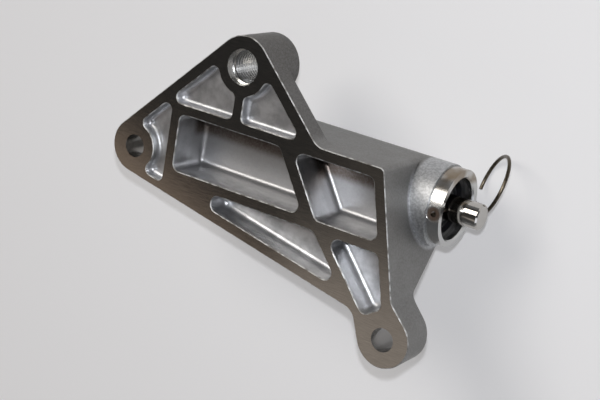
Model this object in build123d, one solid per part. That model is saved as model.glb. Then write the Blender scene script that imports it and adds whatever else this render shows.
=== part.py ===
from build123d import *
import math
import os

# Timing belt damper, millimetres. Origin: left fixing hole on the milled front face.
# +Z points out of that face, +X runs along the barrel towards its mouth.

# Fixing holes and bosses
hole_r = 4.25
left_boss_r = 10.0
lower_hole_x = 114.6
lower_hole_y = -36.4
lower_boss_r = 10.1
upper_hole_x = 41.8
upper_hole_y = 40.4
upper_boss_r = 11.1
fixing_boss_depth = 13.5
upper_boss_depth = 19.5
thread_bore_r = 6.0
counterbore_r = 6.4
counterbore_depth = 3.5

# Front outline
plate_thickness = 8.0
web_thickness = 12.2
block_top_y = 21.2
block_top_right_x = 103.2
right_waist_x = 115.3
right_waist_y = -22.8
corner_r = 2.0
upper_concave_r = 7.0
waist_r = 6.0
lower_concave_r = 6.0
rim = 4.1
lower_edge_far_x = 98.1
lower_edge_far_y = -29.5
edge_break = 0.3
cut_reach = 200.0

# Pockets in the front face
pocket_corner_r = 2.2
pocket_floor_r = 1.6
left_pocket_reach = 6.0
left_pocket_fall = 0.2
deep_corner_r = 2.7
deep_floor_r = 2.1
pocket_draft = 2.0
shallow_pocket_depth = 3.5
web_pocket_depth = 8.6
block_pocket_depth = 16.4
rib_foot_x = 16.3
post_x = 42.4
band_low_y = 17.15
band_high_y = 21.0
lower_band_high_y = -3.9
lower_band_low_y = -7.9
diagonal_top_x = 64.6
diagonal_low_x = 78.2
diagonal_rib = 4.7
long_pocket_left_x = 37.4
brace_top_x = 83.24
brace_slope = -1.16
brace_width = 3.9

# Barrel and collar
barrel_r = 15.0
barrel_start_x = 14.2
collar_end_x = 113.4
mouth_ring_length = 5.1
mouth_ring_r = 14.1
mouth_ring_lift = 0.35
mouth_chamfer = 0.6
bore_r = 11.25
end_wall = 5.8
sleeve_socket_length = 6.0
gusset_width = 8.0
gusset_edge_y = -23.3
gusset_edge_depth = 14.6
gusset_blend_r = 5.0

# Plunger rod and its cross hole
rod_r = 4.65
rod_reach = 9.5
rod_chamfer = 0.5
pin_inset = 2.55
pin_wire_r = 0.65
pin_hole_r = 1.0
rod_hole_r = 0.9
rod_hole_gap = 0.05
spot_face_r = 2.8
spot_face_radius = 13.75

# Locking pin
pin_tip_above_axis = 13.5
pin_bend_r = 1.3
loop_r = 11.41
loop_turn = 321.0
loop_offset = (7.29, 7.93, -14.58)
loop_normal = (0.77, -0.2955, -0.5655)

# Hydraulic parts
fit_gap = 0.05
press_gap = 0.01
sleeve_r = 8.0
sleeve_bore_r = 6.5
sleeve_length = 42.0
sleeve_floor = 2.0
piston_bottom_x = 50.0
piston_flange_x = 66.0
piston_flange_length = 8.0
piston_flange_r = 10.7
rod_seat_depth = 2.0
wear_ring_width = 4.0
wear_ring_depth = 1.3
valve_bore_r = 4.3
valve_bore_length = 8.0
valve_seat_length = 2.6
valve_hole_r = 1.4
ball_r = 2.0
ball_gap = 0.05
port_r = 1.2
port_x = 64.0
retainer_thickness = 0.6
retainer_dome_r = 2.9
retainer_length = 4.6
ball_spring_wire_r = 0.15
ball_spring_r = 1.1
ball_spring_turns = 3
spring_wire_r = 0.7
spring_r = 5.0
spring_turns = 8
spring_end_gap = 0.5
wire_sides = 6
guide_length = 12.0
bush_r = 5.8
guide_groove_width = 2.4
ring_cord_r = 1.0
circlip_thickness = 1.2
circlip_inner_r = 9.5
circlip_groove_depth = 0.9
circlip_gap_angle = 36.0
circlip_ear_r = 1.5
circlip_eye_r = 0.6
seal_inset = 3.9
seal_length = 8.0
seal_to_guide = 4.6
seal_wall = 1.5
seal_flex_depth = 3.0
garter_r = 6.9
garter_cord_r = 0.6

mouth_x = collar_end_x + mouth_ring_length
rod_end_x = mouth_x + rod_reach
pin_x = mouth_x - pin_inset
seal_front_x = mouth_x - seal_inset
seal_start_x = seal_front_x - seal_length
guide_start_x = seal_start_x - seal_to_guide - guide_length
axis_y = block_top_y - barrel_r
axis_z = -31.35
barrel_axis = Plane(origin=(0, axis_y, axis_z), x_dir=(1, 0, 0), z_dir=(0, 0, 1))
left_hole = Vector(0, 0)
upper_hole = Vector(upper_hole_x, upper_hole_y)
lower_hole = Vector(lower_hole_x, lower_hole_y)
barrel_bottom_x = barrel_start_x + end_wall
main_bore_x = barrel_bottom_x + sleeve_socket_length
back_z = axis_z - barrel_r


def tangent_point(centre, radius, target, side):
    """Point where a line from target touches a circle, on the left or right side."""
    away = target - centre
    turn = math.degrees(math.acos(radius / away.length))
    return centre + away.normalized().rotate(Axis.Z, side * turn) * radius


def outer_tangent(first, first_r, second, second_r, side):
    """Ends of the outer tangent of two circles, seen from the first to the second."""
    along = second - first
    turn = math.degrees(math.acos((first_r - second_r) / along.length))
    normal = along.normalized().rotate(Axis.Z, side * turn)
    return first + normal * first_r, second + normal * second_r


def crossing(point, direction, y):
    """Point at height y on a line."""
    return point + direction * ((y - point.Y) / direction.Y)


def soften(shape, point, radius):
    """Round the one corner of a flat shape that lies at a point."""
    corner = shape.vertices().sort_by_distance((point.X, point.Y, 0))[0]
    return fillet(corner, radius)


def solid_of(profile, low_z, high_z):
    """Extrude a flat shape between two heights."""
    return extrude(Pos(0, 0, low_z) * profile, high_z - low_z)


def turned(points):
    """Turn a half section, given as (x, radius) pairs, about the barrel axis."""
    half = make_face(Polyline(*[(x, r) for x, r in points], close=True))
    return barrel_axis * revolve(half, Axis.X)


def ring(start_x, length, inner_r, outer_r):
    """Plain ring or disc on the barrel axis."""
    end_x = start_x + length
    return turned([(start_x, inner_r), (end_x, inner_r), (end_x, outer_r), (start_x, outer_r)])


def cross_cylinder(x, radius, low, high):
    """Cylinder across the barrel axis, along Z, between two distances from the axis."""
    return Pos(x, axis_y, axis_z + low) * Cylinder(
        radius, high - low, align=(Align.CENTER, Align.CENTER, Align.MIN)
    )


# Corners of the front outline

upper_left_start, upper_left_end = outer_tangent(left_hole, left_boss_r, upper_hole, upper_boss_r, 1)
diagonal = Vector(1, -1).normalized()
upper_right_start = upper_hole + Vector(1, 1).normalized() * upper_boss_r
upper_concave = crossing(upper_right_start, diagonal, block_top_y)
block_corner = Vector(block_top_right_x, block_top_y)
right_waist = Vector(right_waist_x, right_waist_y)
right_edge = (right_waist - block_corner).normalized()
lower_right_touch = tangent_point(lower_hole, lower_boss_r, right_waist, -1)
lower_edge_far = Vector(lower_edge_far_x, lower_edge_far_y)
lower_left_touch = tangent_point(left_hole, left_boss_r, lower_edge_far, -1)
lower_edge = (lower_edge_far - lower_left_touch).normalized()
lower_boss_touch = lower_hole + Vector(-1, 0).rotate(Axis.Z, 22) * lower_boss_r
lower_boss_side = Vector(-1, 0).rotate(Axis.Z, -68)


def line_meet(first, first_dir, second, second_dir):
    """Crossing point of two lines."""
    gap = second - first
    cross = first_dir.X * second_dir.Y - first_dir.Y * second_dir.X
    return first + first_dir * ((gap.X * second_dir.Y - gap.Y * second_dir.X) / cross)


lower_concave = line_meet(lower_left_touch, lower_edge, lower_boss_touch, lower_boss_side)


def front_outline():
    """Outline of the milled face without its pockets."""
    shape = make_face(
        Polyline(
            left_hole,
            upper_left_start,
            upper_left_end,
            upper_hole,
            upper_right_start,
            upper_concave,
            block_corner,
            right_waist,
            lower_right_touch,
            lower_hole,
            lower_boss_touch,
            lower_concave,
            lower_left_touch,
            close=True,
        )
    )
    shape = soften(shape, upper_concave, upper_concave_r)
    shape = soften(shape, block_corner, corner_r)
    shape = soften(shape, right_waist, waist_r)
    shape = soften(shape, lower_concave, lower_concave_r)
    shape += Circle(left_boss_r)
    shape += Pos(upper_hole.X, upper_hole.Y) * Circle(upper_boss_r)
    shape += Pos(lower_hole.X, lower_hole.Y) * Circle(lower_boss_r)
    return shape


def pocket_cutter(points, depth, arc_centre=None, arc_r=0.0):
    """Tapered pocket with round corners and floor; an arc keeps clear of a hole."""
    shape = make_face(Polyline(*points, close=True))
    if arc_centre is not None:
        shape -= Pos(arc_centre.X, arc_centre.Y) * Circle(arc_r)
    deep = depth > plate_thickness
    shape = fillet(shape.vertices(), deep_corner_r if deep else pocket_corner_r)
    body = extrude(shape, -depth, taper=pocket_draft)
    floor = body.faces().sort_by(Axis.Z)[0]
    return fillet(floor.edges(), deep_floor_r if deep else pocket_floor_r)


def pockets():
    """The seven pockets between the ribs of the front face."""
    inward = Vector(1, -1).normalized() * rim
    upper_left_a = upper_left_start + inward
    upper_left_dir = (upper_left_end - upper_left_start).normalized()
    upper_right_dir = diagonal
    upper_right_a = upper_right_start - Vector(1, 1).normalized() * (rim + 0.4)
    lower_up = Vector(-lower_edge.Y, lower_edge.X) * rim
    lower_a = lower_left_touch + lower_up
    left_rib = rib_foot_x - rim / 2
    right_rib = rib_foot_x + rim / 2
    right_in = Vector(right_edge.Y, -right_edge.X) * rim
    if right_in.X > 0:
        right_in = right_in * -1
    right_a = block_corner + right_in
    slant = Vector(diagonal_low_x - diagonal_top_x, lower_band_high_y - band_low_y).normalized()
    slant_side = Vector(-slant.Y, slant.X) * (diagonal_rib / 2)
    if slant_side.X < 0:
        slant_side = slant_side * -1
    slant_top = Vector(diagonal_top_x, band_low_y)
    cutters = []

    # Beside the left hole
    top_y = left_rib - upper_left_a.X + upper_left_a.Y
    cutters.append(
        pocket_cutter(
            [
                Vector(-left_pocket_reach, -left_pocket_reach),
                Vector(left_rib, -left_pocket_reach - (left_rib + left_pocket_reach) * left_pocket_fall),
                Vector(left_rib, top_y),
                upper_left_a - upper_left_dir * left_pocket_reach,
            ],
            shallow_pocket_depth,
            left_hole,
            left_boss_r - 1.2,
        )
    )

    # Left and right of the post under the upper hole
    post_left = post_x - rim / 2
    post_right = post_x + rim / 2
    left_low = Vector(upper_left_a.X + band_high_y - upper_left_a.Y, band_high_y)
    cutters.append(
        pocket_cutter(
            [
                left_low,
                Vector(post_left, band_high_y),
                Vector(post_left, upper_hole.Y),
                Vector(upper_left_a.X + upper_hole.Y - upper_left_a.Y, upper_hole.Y),
            ],
            shallow_pocket_depth,
            upper_hole,
            upper_boss_r - 0.8,
        )
    )
    right_low = crossing(upper_right_a, upper_right_dir, band_high_y)
    right_high = crossing(upper_right_a, upper_right_dir, upper_hole.Y)
    cutters.append(
        pocket_cutter(
            [
                Vector(post_right, band_high_y),
                right_low,
                right_high,
                Vector(post_right, upper_hole.Y),
            ],
            shallow_pocket_depth,
            upper_hole,
            upper_boss_r - 0.5,
        )
    )

    # The two deep pockets in front of the barrel
    cutters.append(
        pocket_cutter(
            [
                Vector(right_rib, lower_band_high_y),
                crossing(slant_top - slant_side, slant, lower_band_high_y),
                crossing(slant_top - slant_side, slant, band_low_y),
                Vector(right_rib, band_low_y),
            ],
            block_pocket_depth,
        )
    )
    cutters.append(
        pocket_cutter(
            [
                crossing(slant_top + slant_side, slant, lower_band_high_y),
                crossing(right_a, right_edge, lower_band_high_y),
                crossing(right_a, right_edge, band_low_y),
                crossing(slant_top + slant_side, slant, band_low_y),
            ],
            block_pocket_depth,
        )
    )

    # The long pocket and the one above the lower hole
    brace = Vector(1, brace_slope).normalized()
    brace_side = Vector(-brace.Y, brace.X) * (brace_width / 2)
    if brace_side.X > 0:
        brace_side = brace_side * -1
    brace_top = Vector(brace_top_x, lower_band_low_y)
    brace_left = brace_top + brace_side
    brace_right = brace_top - brace_side
    long_left = Vector(long_pocket_left_x, lower_band_low_y)
    cutters.append(
        pocket_cutter(
            [
                line_meet(lower_a, lower_edge, long_left, Vector(0, 1)),
                line_meet(lower_a, lower_edge, brace_left, brace),
                crossing(brace_left, brace, lower_band_low_y),
                long_left,
            ],
            web_pocket_depth,
        )
    )
    cutters.append(
        pocket_cutter(
            [
                line_meet(brace_right, brace, right_a, right_edge),
                crossing(right_a, right_edge, lower_band_low_y),
                crossing(brace_right, brace, lower_band_low_y),
            ],
            web_pocket_depth,
            lower_hole,
            lower_boss_r,
        )
    )
    return cutters


def housing():
    """Bracket, ribs, bosses, barrel and collar in one casting."""
    outline = front_outline()
    right_of_block = Pos(barrel_start_x, 0) * Rectangle(
        cut_reach, cut_reach, align=(Align.MIN, Align.CENTER)
    )
    body = solid_of(outline, -plate_thickness, 0)
    lower_band = Pos(0, axis_y) * Rectangle(
        2 * cut_reach, cut_reach, align=(Align.CENTER, Align.MAX)
    )
    web = (outline & right_of_block) & lower_band
    body += solid_of(web, -web_thickness, 0)
    body += solid_of(Circle(left_boss_r), -fixing_boss_depth, 0)
    body += solid_of(Pos(lower_hole.X, lower_hole.Y) * Circle(lower_boss_r), -fixing_boss_depth, 0)
    body += solid_of(Pos(upper_hole.X, upper_hole.Y) * Circle(upper_boss_r), -upper_boss_depth, 0)

    # Block in front of the barrel, cut to the slanted right edge
    block_band = Pos(barrel_start_x, axis_y - barrel_r) * Rectangle(
        cut_reach, 2 * barrel_r, align=(Align.MIN, Align.MIN)
    )
    body += solid_of(outline & block_band, axis_z, 0)

    # Barrel with its collar and mouth ring
    body += ring(barrel_start_x, collar_end_x - barrel_start_x, 0, barrel_r)
    mouth_ring = ring(collar_end_x - 1, mouth_x - collar_end_x + 1, 0, mouth_ring_r)
    body += Pos(0, mouth_ring_lift, 0) * mouth_ring

    # Gusset from the barrel to the lower boss, under the right edge
    gusset_corner = Vector(gusset_edge_y, -gusset_edge_depth)
    barrel_centre = Vector(axis_y, axis_z)
    touch = tangent_point(barrel_centre, barrel_r, gusset_corner, 1)
    side = make_face(
        Polyline(
            barrel_centre,
            touch,
            gusset_corner,
            (lower_hole.Y, -fixing_boss_depth),
            (lower_hole.Y, -plate_thickness),
            (axis_y, -plate_thickness),
            close=True,
        )
    )
    side = soften(side, gusset_corner, gusset_blend_r)
    side_plane = Plane(origin=(0, 0, 0), x_dir=(0, 1, 0), z_dir=(1, 0, 0))
    gusset = side_plane * extrude(side, cut_reach)
    across = Vector(right_edge.Y, -right_edge.X)
    if across.X > 0:
        across = across * -1
    start = crossing(block_corner, right_edge, axis_y)
    finish = crossing(block_corner, right_edge, lower_hole.Y)
    band = make_face(
        Polyline(
            start + across * gusset_width,
            start - across * cut_reach,
            finish - across * cut_reach,
            finish + across * gusset_width,
            close=True,
        )
    )
    gusset &= solid_of(outline & band, back_z, 0)
    body += gusset

    for cutter in pockets():
        body -= cutter
    face_edges = body.edges().filter_by_position(Axis.Z, -edge_break / 10, edge_break / 10)
    body = chamfer(face_edges, edge_break)

    # Fixing holes
    for hole in (left_hole, lower_hole):
        body -= Pos(hole.X, hole.Y, -fixing_boss_depth / 2) * Cylinder(hole_r, fixing_boss_depth + 2)
    body -= Pos(upper_hole.X, upper_hole.Y, -upper_boss_depth / 2) * Cylinder(
        thread_bore_r, upper_boss_depth + 2
    )
    body -= Pos(upper_hole.X, upper_hole.Y, -counterbore_depth) * Cylinder(
        counterbore_r, counterbore_depth + 1, align=(Align.CENTER, Align.CENTER, Align.MIN)
    )

    # Bore, sleeve socket and the groove of the circlip
    body -= ring(main_bore_x, mouth_x - main_bore_x + 1, 0, bore_r)
    body -= ring(barrel_bottom_x, sleeve_socket_length + 1, 0, sleeve_r + press_gap)
    circlip_x = guide_start_x + guide_length + fit_gap
    body -= ring(
        circlip_x, circlip_thickness + 2 * fit_gap, 0, bore_r + circlip_groove_depth + fit_gap
    )
    body -= turned(
        [
            (mouth_x - mouth_chamfer, 0),
            (mouth_x + 1, 0),
            (mouth_x + 1, bore_r + mouth_chamfer + 1),
            (mouth_x - mouth_chamfer, bore_r),
        ]
    )

    # Cross holes of the locking pin with the spot face around the front one
    body -= cross_cylinder(pin_x, pin_hole_r, -barrel_r - 2, barrel_r + 2)
    body -= cross_cylinder(pin_x, spot_face_r, spot_face_radius, barrel_r + 2)
    return body


def cylinder_sleeve():
    """Pressed-in steel cup that the piston runs in."""
    start = barrel_bottom_x
    end = start + sleeve_length
    floor = start + sleeve_floor
    return turned(
        [
            (start, 0),
            (start, sleeve_r - 0.4),
            (start + 0.4, sleeve_r),
            (end, sleeve_r),
            (end, sleeve_bore_r + 0.4),
            (end - 0.4, sleeve_bore_r),
            (floor, sleeve_bore_r),
            (floor, 0),
        ]
    )


def coil(start_x, end_x, radius, wire_r, turns):
    """Compression spring of six-sided wire along the barrel axis."""
    pitch = (end_x - start_x - 2 * wire_r) / turns
    path = Helix(pitch=pitch, height=pitch * turns, radius=radius)
    section = Plane(origin=path @ 0, z_dir=path % 0) * RegularPolygon(wire_r, wire_sides)
    wire = sweep(section, path=path)
    return Pos(start_x + wire_r, axis_y, axis_z) * Rot(0, 90, 0) * wire


def piston():
    """Piston with its valve bore, oil ports, guide flange and rod seat."""
    top = piston_flange_x + piston_flange_length
    neck_r = sleeve_bore_r - fit_gap
    groove_x = piston_flange_x + (piston_flange_length - wear_ring_width) / 2 - fit_gap
    groove_r = piston_flange_r - wear_ring_depth
    body = ring(piston_bottom_x, piston_flange_x - piston_bottom_x + 1, 0, neck_r)
    body += ring(piston_flange_x, piston_flange_length, 0, piston_flange_r)
    body -= ring(
        groove_x, wear_ring_width + 2 * fit_gap, groove_r, piston_flange_r + 1
    )
    body -= ring(piston_bottom_x - 1, valve_bore_length + 1, 0, valve_bore_r)
    body -= ring(piston_bottom_x, port_x - piston_bottom_x, 0, valve_hole_r)
    body -= Pos(port_x, axis_y, axis_z) * Rot(90, 0, 0) * Cylinder(port_r, 2 * piston_flange_r)
    for turn in range(4):
        notch = Pos(piston_flange_x - 1, piston_flange_r + 0.6, 0) * Rot(0, 90, 0) * Cylinder(
            1.6, piston_flange_length + 2, align=(Align.CENTER, Align.CENTER, Align.MIN)
        )
        body -= barrel_axis * Rot(turn * 90 + 45, 0, 0) * notch
    seat_x = top - rod_seat_depth
    body -= ring(seat_x, rod_seat_depth + 1, 0, rod_r + 0.25)
    return body


def piston_wear_ring():
    """Split plastic ring in the piston's groove."""
    start = piston_flange_x + (piston_flange_length - wear_ring_width) / 2
    inner = piston_flange_r - wear_ring_depth + fit_gap
    body = ring(start, wear_ring_width, inner, bore_r - fit_gap)
    split = Box(wear_ring_width * 3, 0.8, 6)
    return body - Pos(start + wear_ring_width / 2, axis_y, axis_z + bore_r) * Rot(0, 0, 30) * split


def valve_seat_face_x():
    """Where the ball side of the valve seat lies."""
    return piston_bottom_x + valve_bore_length - valve_seat_length


def check_valve_seat():
    """Hardened seat ring with a conical seat on its ball side."""
    face = valve_seat_face_x()
    end = face + valve_seat_length
    outer = valve_bore_r - press_gap
    return turned(
        [
            (face, valve_hole_r + 0.3),
            (face + 0.3, valve_hole_r),
            (end, valve_hole_r),
            (end, outer),
            (face, outer),
        ]
    )


def ball_centre_x():
    """Ball centre, a hair off its seat."""
    rest = math.sqrt(ball_r**2 - (valve_hole_r + 0.15) ** 2)
    return valve_seat_face_x() - rest - ball_gap + 0.15


def check_ball():
    """Steel valve ball."""
    return Pos(ball_centre_x(), axis_y, axis_z) * Sphere(ball_r)


def check_ball_spring():
    """Small spring that closes the valve."""
    start = valve_seat_face_x() - retainer_length + retainer_thickness
    reach = math.sqrt((ball_r + ball_spring_wire_r) ** 2 - ball_spring_r**2)
    end = ball_centre_x() - reach + ball_spring_wire_r - ball_gap
    return coil(start, end, ball_spring_r, ball_spring_wire_r, ball_spring_turns)


def check_ball_retainer():
    """Pierced cup that holds ball and spring under the seat."""
    face = valve_seat_face_x()
    outer = valve_bore_r - press_gap
    bottom = face - retainer_length
    inner_dome = retainer_dome_r - retainer_thickness
    cup = turned(
        [
            (bottom, 0),
            (bottom, retainer_dome_r),
            (face - retainer_thickness, retainer_dome_r),
            (face - retainer_thickness, outer),
            (face, outer),
            (face, inner_dome),
            (bottom + retainer_thickness, inner_dome),
            (bottom + retainer_thickness, 0),
        ]
    )
    window = Pos((bottom + face) / 2, 0, 0) * Cylinder(0.8, 3 * retainer_dome_r)
    for turn in range(2):
        cup -= barrel_axis * Rot(turn * 90, 0, 0) * window
    return cup


def plunger_rod():
    """Polished rod with its foot in the piston and the pin's cross hole."""
    foot = piston_flange_x + piston_flange_length - rod_seat_depth
    rod = turned(
        [
            (foot, 0),
            (foot, rod_r - 0.6),
            (foot + 0.6, rod_r),
            (rod_end_x - rod_chamfer, rod_r),
            (rod_end_x, rod_r - rod_chamfer),
            (rod_end_x, 0),
        ]
    )
    hole_x = pin_x + rod_hole_r - pin_wire_r - rod_hole_gap
    return rod - cross_cylinder(hole_x, rod_hole_r, -rod_r - 1, rod_r + 1)


def rod_guide():
    """Ring that carries the rod's bush, with the groove of its sealing ring."""
    outer = bore_r - press_gap
    groove_x = guide_start_x + (guide_length - guide_groove_width) / 2
    groove_r = bore_r - 2 * ring_cord_r + 0.2
    end = guide_start_x + guide_length
    return turned(
        [
            (guide_start_x, bush_r + press_gap),
            (end, bush_r + press_gap),
            (end, outer - 0.5),
            (end - 0.5, outer),
            (groove_x + guide_groove_width, outer),
            (groove_x + guide_groove_width, groove_r),
            (groove_x, groove_r),
            (groove_x, outer),
            (guide_start_x + 0.5, outer),
            (guide_start_x, outer - 0.5),
        ]
    )


def guide_bush():
    """Bronze bush in the guide."""
    return ring(guide_start_x, guide_length, rod_r + fit_gap, bush_r)


def guide_o_ring():
    """Rubber ring, squeezed between its groove and the bore."""
    centre_x = guide_start_x + guide_length / 2
    inner = bore_r - 2 * ring_cord_r + 0.2 + press_gap
    outer = bore_r - press_gap
    half_width = guide_groove_width / 2 - 0.1
    corner = (outer - inner) * 0.3
    return turned(
        [
            (centre_x - half_width + corner, inner),
            (centre_x + half_width - corner, inner),
            (centre_x + half_width, inner + corner),
            (centre_x + half_width, outer - corner),
            (centre_x + half_width - corner, outer),
            (centre_x - half_width + corner, outer),
            (centre_x - half_width, outer - corner),
            (centre_x - half_width, inner + corner),
        ]
    )


def snap_ring():
    """Internal circlip with two eyed ears."""
    start = guide_start_x + guide_length + 2 * fit_gap
    outer = bore_r + circlip_groove_depth
    thick = circlip_thickness
    flat = Circle(outer) - Circle(circlip_inner_r)
    half_gap = circlip_gap_angle / 2
    wedge = make_face(
        Polyline(
            (0, 0),
            (-2 * outer * math.sin(math.radians(half_gap)), -2 * outer * math.cos(math.radians(half_gap))),
            (2 * outer * math.sin(math.radians(half_gap)), -2 * outer * math.cos(math.radians(half_gap))),
            close=True,
        )
    )
    flat -= wedge
    ear_r = circlip_inner_r - circlip_ear_r * 0.4
    for side in (-1, 1):
        angle = math.radians(half_gap + 6) * side
        place = Pos(ear_r * math.sin(angle), -ear_r * math.cos(angle))
        flat += place * Circle(circlip_ear_r)
        flat -= place * Circle(circlip_eye_r)
    plane = Plane(origin=(start, axis_y, axis_z), x_dir=(0, 1, 0), z_dir=(1, 0, 0))
    return plane * extrude(flat, thick)


def oil_seal():
    """Rubber lip seal: outer shell, ribbed front and lips on the rod."""
    outer = bore_r - press_gap
    back = seal_start_x
    front = seal_front_x
    lip = rod_r + 0.02
    shell = outer - seal_wall
    web = front - seal_flex_depth
    rubber = turned(
        [
            (back, outer),
            (front, outer),
            (front, shell),
            (web + 0.9, shell),
            (web + 0.9, shell - 0.9),
            (web + 1.7, shell - 1.2),
            (web + 1.7, shell - 1.8),
            (web + 0.9, shell - 2.1),
            (web + 0.9, rod_r + 1.5),
            (web + 2.2, rod_r + 1.1),
            (web + 2.4, lip),
            (web + 1.9, lip),
            (web + 0.6, rod_r + 0.7),
            (web - 0.6, rod_r + 0.7),
            (web - 2.6, lip),
            (web - 3.1, lip),
            (web - 4.0, rod_r + 0.6),
            (web - 4.0, garter_r - garter_cord_r - 0.1),
            (web - 2.0, garter_r - garter_cord_r - 0.1),
            (web - 1.2, garter_r + garter_cord_r),
            (web - 0.9, shell),
            (back, shell),
        ]
    )
    return rubber


def seal_garter_spring():
    """Closed ring spring round the lip of the seal."""
    centre_x = seal_front_x - seal_flex_depth - 2.0 - garter_cord_r - 0.3
    half = Pos(centre_x, garter_r) * RegularPolygon(garter_cord_r, wire_sides)
    return barrel_axis * revolve(half, Axis.X)


def locking_pin():
    """Wire pin: straight leg, one bend and an open loop."""
    centre = Vector(pin_x, axis_y, axis_z) + Vector(*loop_offset)
    normal = Vector(*loop_normal).normalized()
    leg_x = pin_x
    leg_top = Vector(leg_x, axis_y, axis_z + pin_tip_above_axis)
    drop = (leg_top - centre).dot(normal) / normal.Z
    corner = leg_top - Vector(0, 0, drop)
    to_corner = corner - centre
    half_angle = math.degrees(math.acos(loop_r / to_corner.length))
    loop_start = centre + to_corner.rotate(Axis((0, 0, 0), normal), -half_angle).normalized() * loop_r
    leg_and_bend = FilletPolyline(leg_top, corner, loop_start, radius=pin_bend_r)
    loop_plane = Plane(origin=centre, x_dir=loop_start - centre, z_dir=normal * -1)
    loop = loop_plane * CenterArc((0, 0, 0), loop_r, 0, loop_turn)
    section = Plane(origin=leg_top, z_dir=(0, 0, -1)) * Circle(pin_wire_r)
    wire = sweep(section, path=Wire(leg_and_bend.edges() + loop.edges()))
    return wire


def write(name, shape):
    """Write one piece as its own STEP file."""
    shape.label = name
    export_step(shape, os.path.join("parts", name + ".step"))


def main():
    os.makedirs("parts", exist_ok=True)
    write("housing", housing())
    write("cylinder_sleeve", cylinder_sleeve())
    spring_start = barrel_bottom_x + sleeve_floor + fit_gap
    spring_end = piston_bottom_x - spring_end_gap
    write("return_spring", coil(spring_start, spring_end, spring_r, spring_wire_r, spring_turns))
    write("piston", piston())
    write("piston_wear_ring", piston_wear_ring())
    write("check_valve_seat", check_valve_seat())
    write("check_ball", check_ball())
    write("check_ball_spring", check_ball_spring())
    write("check_ball_retainer", check_ball_retainer())
    write("plunger_rod", plunger_rod())
    write("rod_guide", rod_guide())
    write("guide_bush", guide_bush())
    write("guide_o_ring", guide_o_ring())
    write("snap_ring", snap_ring())
    write("oil_seal", oil_seal())
    write("seal_garter_spring", seal_garter_spring())
    write("locking_pin", locking_pin())


if __name__ == "__main__":
    main()
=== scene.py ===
import math

import bpy
import bmesh
from mathutils import Matrix, Vector


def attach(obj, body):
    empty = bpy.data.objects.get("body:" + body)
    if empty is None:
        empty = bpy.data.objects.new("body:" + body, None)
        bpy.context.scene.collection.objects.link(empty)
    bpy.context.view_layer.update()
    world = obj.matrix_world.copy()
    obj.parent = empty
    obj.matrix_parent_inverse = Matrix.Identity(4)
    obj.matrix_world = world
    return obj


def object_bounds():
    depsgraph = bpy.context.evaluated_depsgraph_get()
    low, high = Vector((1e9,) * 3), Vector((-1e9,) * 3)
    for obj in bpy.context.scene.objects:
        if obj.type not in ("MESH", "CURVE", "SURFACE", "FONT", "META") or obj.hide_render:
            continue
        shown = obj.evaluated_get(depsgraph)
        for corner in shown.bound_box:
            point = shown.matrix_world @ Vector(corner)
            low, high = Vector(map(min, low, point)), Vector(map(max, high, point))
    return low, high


bl_info = {
    "name": "Timing Belt Damper",
    "version": (1, 0, 0),
    "blender": (4, 5, 0),
    "location": "3D View > Sidebar > Damper",
    "description": "Finishes, thread and studio of a cast timing belt damper",
    "category": "Object",
}

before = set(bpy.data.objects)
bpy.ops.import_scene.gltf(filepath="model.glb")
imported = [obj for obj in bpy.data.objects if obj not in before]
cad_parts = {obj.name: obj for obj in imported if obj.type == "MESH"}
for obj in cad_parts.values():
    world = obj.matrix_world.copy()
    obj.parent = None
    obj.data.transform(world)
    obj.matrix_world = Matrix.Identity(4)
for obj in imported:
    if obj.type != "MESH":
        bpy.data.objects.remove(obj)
frame_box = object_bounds()

MM = 0.001

# Millimetres in a metre: a pattern's scale is this over the width of its blobs
METRE = 1000.0

# Places in the part's own frame, in millimetres
LEFT_HOLE = (0.0, 0.0)
LOWER_HOLE = (114.6, -36.4)
UPPER_HOLE = (41.8, 40.4)
BARREL_AXIS = (6.2, -31.35)
PIN_HOLE = (115.95, 6.2)
BLOCK_TOP = 21.2
BLOCK_RIGHT = 103.2

# Thread of the upper hole, in millimetres; its half widths are shares of the pitch, and its foot
# stands a little in the wall
THREAD_ROOT_R = 6.0
THREAD_CREST_R = 5.4
THREAD_PITCH = 1.5
THREAD_FOOT = 0.46
THREAD_CREST = 0.07
THREAD_BITE = 0.02
THREAD_TOP = -3.6
THREAD_LOW = -19.3
THREAD_STEPS = 36

# Radii between which a round finish ends, in millimetres, just outside the surface it is for
PLAIN_HOLE_R = (4.4, 4.6)
UPPER_HOLE_R = (6.7, 6.9)
SPOT_R = (1.9, 2.9)
RING_R = (14.7, 14.9)
COLLAR_R = (15.6, 17.2)

# Places between which a finish comes in or ends, in millimetres along the axis in the name
FACE_Z = (-0.34, -0.3)
COUNTERBORE_Z = (THREAD_TOP - 0.2, THREAD_TOP)
SPOT_Z = (-19.5, -18.5)
# Below this depth the pockets' floors are drawn in painted shade, like their walls
SHALLOW_Z = (-10.5, -8.5)
# The painted shadow of the upper rib lies on the deep pockets' floors between these
RIB_SHADOW_Z = (-12.5, -8.5)
RIB_SHADOW_Y = (6.6, 10.2)
RING_TOP_Y = (13.5, 16.5)
# The painted shade on the upright sides starts above this height
SHADED_SIDE_Y = (22.0, 25.0)
COLLAR_X = (103.7, 105.2)
NECK_X = (104.5, 105.5)
RING_X = (113.45, 113.6)

# The same for how a surface leans, as the part of its normal along an axis
FLAT = (0.95, 0.99)
SLANTED = (0.4, 0.5)
UPRIGHT = (0.2, 0.4)
OUTWARD = (0.2, 0.4)
NOT_FROM_BEHIND = (-0.5, -0.3)
WALL_TO_FLOOR = (-0.6, 0.7)

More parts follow.
